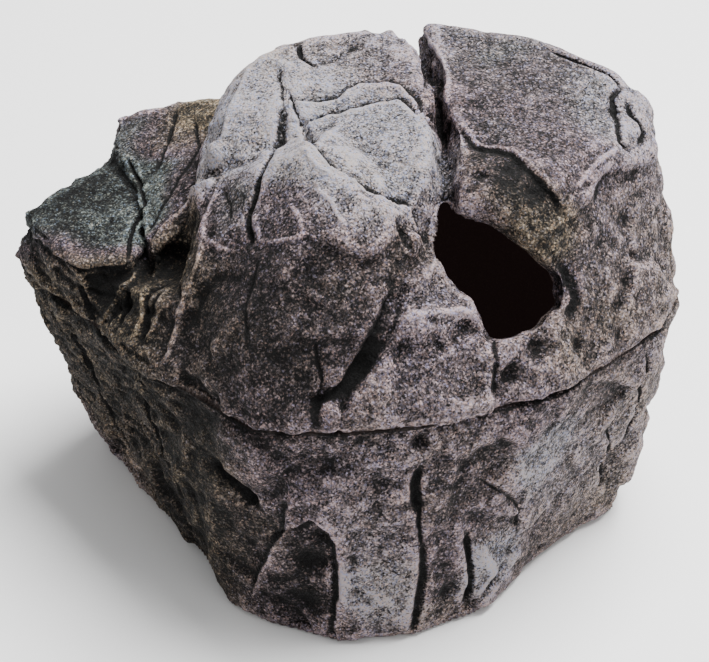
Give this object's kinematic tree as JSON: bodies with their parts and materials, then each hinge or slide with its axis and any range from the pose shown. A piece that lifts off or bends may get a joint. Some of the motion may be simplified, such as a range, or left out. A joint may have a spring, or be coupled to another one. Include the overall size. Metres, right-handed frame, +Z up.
{
  "type": "aquarium cave ornament",
  "caption": "Hollow cave rock for a tank or pond, cast in resin: a bowl-shaped base and a lift-off lid with a slanted entrance.",
  "frame": {"origin": "on the ground under the middle of the rock's bounding box, at the underside of the rubber pads", "axes": "+Z up, the way the lid lifts off; the entrance faces -Y, so -Y is the front; X runs along the rock's long side, with the low shelf at -X"},
  "size_m": [0.199, 0.135, 0.138],
  "materials": {
    "base_stone": "matte cast resin painted as dark speckled granite",
    "lid_stone": "matte cast resin painted as speckled granite with a pale wash on the raised edges",
    "pads": "matte black rubber"
  },
  "bodies": {
    "base": {"base_shell": "base_stone", "foot_pad_front_left": "pads", "foot_pad_front_right": "pads", "foot_pad_back_left": "pads", "foot_pad_back_right": "pads"},
    "lid": {"lid_shell": "lid_stone"}
  },
  "joints": [
    {"name": "lid_lift", "type": "slide", "parent": "base", "child": "lid", "axis": [0, 0, 1], "range_m": [0, 0.12]}
  ]
}
